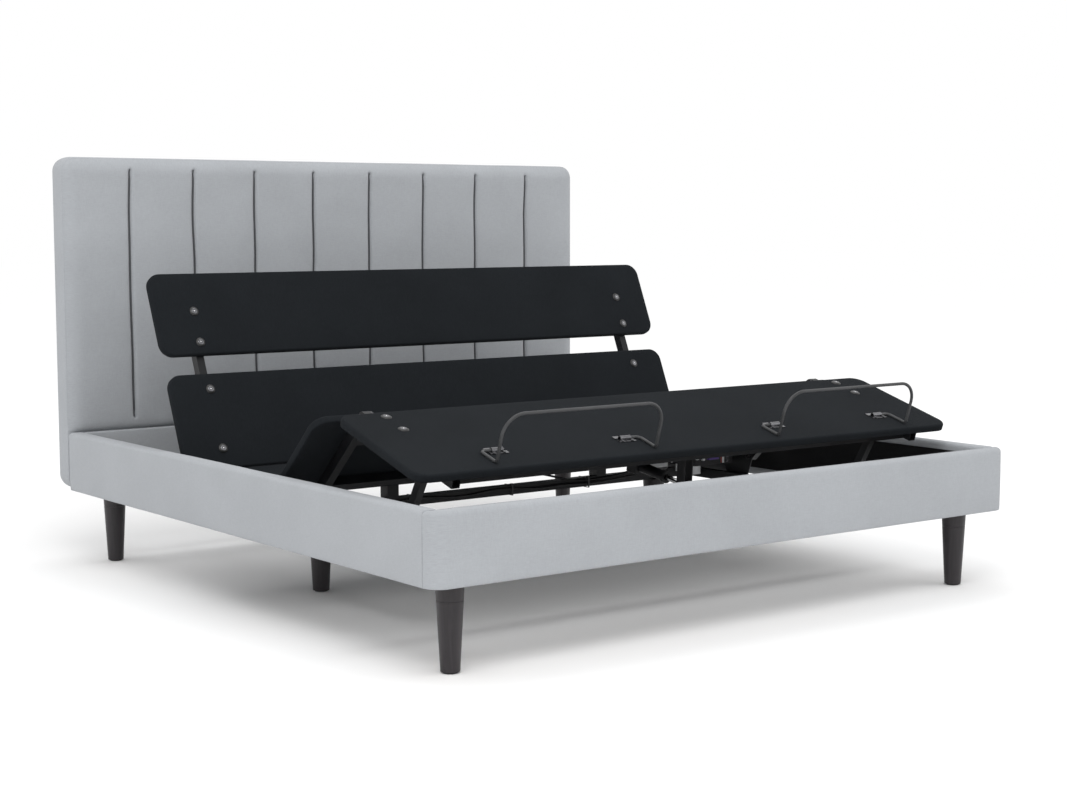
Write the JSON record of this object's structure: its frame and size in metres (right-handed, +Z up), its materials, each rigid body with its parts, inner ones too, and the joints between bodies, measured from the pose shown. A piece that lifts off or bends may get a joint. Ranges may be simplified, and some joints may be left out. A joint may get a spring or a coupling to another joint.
{
  "type": "adjustable bed base",
  "caption": "Upholstered bed frame holding a folding, motor-lifted base with raised head, thigh and foot decks, on tapered round legs, with bent mattress retainer bars at the foot.",
  "frame": {"origin": "on the floor, at the centre of the outline: the bottom centre of the bounding box", "axes": "+Y from the footboard to the headboard, +X to the right seen from the foot, +Z up"},
  "size_m": [2.06, 2.188, 1.295],
  "materials": {
    "grey_fabric": "matt woven upholstery",
    "deck_cloth": "thin black cloth over board",
    "lining_cloth": "black lining cloth",
    "leg_wood": "dark stained, satin",
    "hidden_board": "raw board",
    "black_steel": "black powder coat",
    "zinc_steel": "zinc plated",
    "rod_chrome": "polished",
    "case_plastic": "moulded, fine grain",
    "cable_rubber": "soft round jacket",
    "tie_plastic": "moulded nylon"
  },
  "bodies": {
    "bed_frame": {"headboard_core": "hidden_board", "headboard_cushion": "grey_fabric", "headboard_back_panel": "lining_cloth", "side_rail_left": "grey_fabric", "side_rail_right": "grey_fabric", "footboard": "grey_fabric", "rail_boards": "hidden_board", "rail_linings": "lining_cloth", "head_rail": "grey_fabric", "leg_foot_left": "leg_wood", "leg_foot_right": "leg_wood", "leg_mid_left": "leg_wood", "leg_mid_right": "leg_wood", "leg_head_left": "leg_wood", "leg_head_right": "leg_wood", "leg_glides": "tie_plastic", "corner_blocks": "hidden_board", "headboard_brackets": "black_steel", "lower_tube_left": "black_steel", "lower_tube_right": "black_steel", "crossbars": "black_steel", "rail_outriggers": "black_steel", "seat_tube_left": "black_steel", "seat_tube_right": "black_steel", "seat_crossbar": "black_steel", "seat_posts": "black_steel", "seat_panel": "deck_cloth", "frame_bolts": "zinc_steel", "hinge_pins": "zinc_steel", "actuator_clevises": "black_steel", "control_box": "case_plastic", "power_supply": "case_plastic", "power_lead": "cable_rubber", "motor_cables": "cable_rubber", "cable_ties": "tie_plastic"},
    "head_deck": {"head_frame": "black_steel", "head_panel_lower": "deck_cloth", "head_panel_upper": "deck_cloth", "head_bolts": "zinc_steel", "head_lift_arm": "black_steel"},
    "thigh_deck": {"thigh_frame": "black_steel", "thigh_panel": "deck_cloth", "thigh_bolts": "zinc_steel", "leg_lift_arm": "black_steel", "knee_hinges": "zinc_steel"},
    "foot_deck": {"foot_frame": "black_steel", "foot_panel": "deck_cloth", "foot_bolts": "zinc_steel", "link_brackets": "black_steel", "retainer_bar_left": "black_steel", "retainer_bar_right": "black_steel", "retainer_clamps": "zinc_steel"},
    "foot_link_left": {"foot_link_left": "black_steel"},
    "foot_link_right": {"foot_link_right": "black_steel"},
    "head_actuator": {"head_motor": "case_plastic", "head_actuator_tube": "black_steel"},
    "head_rod": {"head_actuator_rod": "rod_chrome"},
    "leg_actuator": {"leg_motor": "case_plastic", "leg_actuator_tube": "black_steel"},
    "leg_rod": {"leg_actuator_rod": "rod_chrome"}
  },
  "joints": [
    {"name": "head_lift", "type": "hinge", "parent": "bed_frame", "child": "head_deck", "pos_m": [0, 0.326, 0.32], "axis": [1, 0, 0], "range_deg": [-66.7, 0]},
    {"name": "thigh_lift", "type": "hinge", "parent": "bed_frame", "child": "thigh_deck", "pos_m": [0, -0.2086, 0.32], "axis": [-1, 0, 0], "range_deg": [-43.2, 0]},
    {"name": "knee_fold", "type": "hinge", "parent": "thigh_deck", "child": "foot_deck", "pos_m": [0, -0.4808, 0.57561], "axis": [1, 0, 0], "range_deg": [-60.32, 0]},
    {"name": "foot_link_left_swing", "type": "hinge", "parent": "bed_frame", "child": "foot_link_left", "pos_m": [-0.8267, -0.6277, 0.2396], "axis": [-1, 0, 0], "range_deg": [-48.21, 0]},
    {"name": "foot_link_right_swing", "type": "hinge", "parent": "bed_frame", "child": "foot_link_right", "pos_m": [0.8267, -0.6277, 0.2396], "axis": [-1, 0, 0], "range_deg": [-48.21, 0]},
    {"name": "head_actuator_tilt", "type": "hinge", "parent": "bed_frame", "child": "head_actuator", "pos_m": [0, 0.144, 0.306], "axis": [1, 0, 0], "range_deg": [-19.19, 0]},
    {"name": "head_rod_stroke", "type": "slide", "parent": "head_actuator", "child": "head_rod", "axis": [0, 0.9968, -0.0797], "range_m": [-0.06987, 0]},
    {"name": "leg_actuator_tilt", "type": "hinge", "parent": "bed_frame", "child": "leg_actuator", "pos_m": [0.47, -0.008, 0.306], "axis": [-1, 0, 0], "range_deg": [-10.66, 0]},
    {"name": "leg_rod_stroke", "type": "slide", "parent": "leg_actuator", "child": "leg_rod", "axis": [0, -0.9864, -0.1642], "range_m": [-0.04971, 0]}
  ],
  "couplings": [
    {"joint": "knee_fold", "follows": "thigh_lift", "ratio": 1.3958},
    {"joint": "foot_link_left_swing", "follows": "thigh_lift", "ratio": 1.1155},
    {"joint": "foot_link_right_swing", "follows": "thigh_lift", "ratio": 1.1155},
    {"joint": "leg_actuator_tilt", "follows": "thigh_lift", "ratio": 0.24621},
    {"joint": "leg_rod_stroke", "follows": "thigh_lift", "m_per_rad": 0.065801},
    {"joint": "head_actuator_tilt", "follows": "head_lift", "ratio": 0.28734},
    {"joint": "head_rod_stroke", "follows": "head_lift", "m_per_rad": 0.059934}
  ]
}
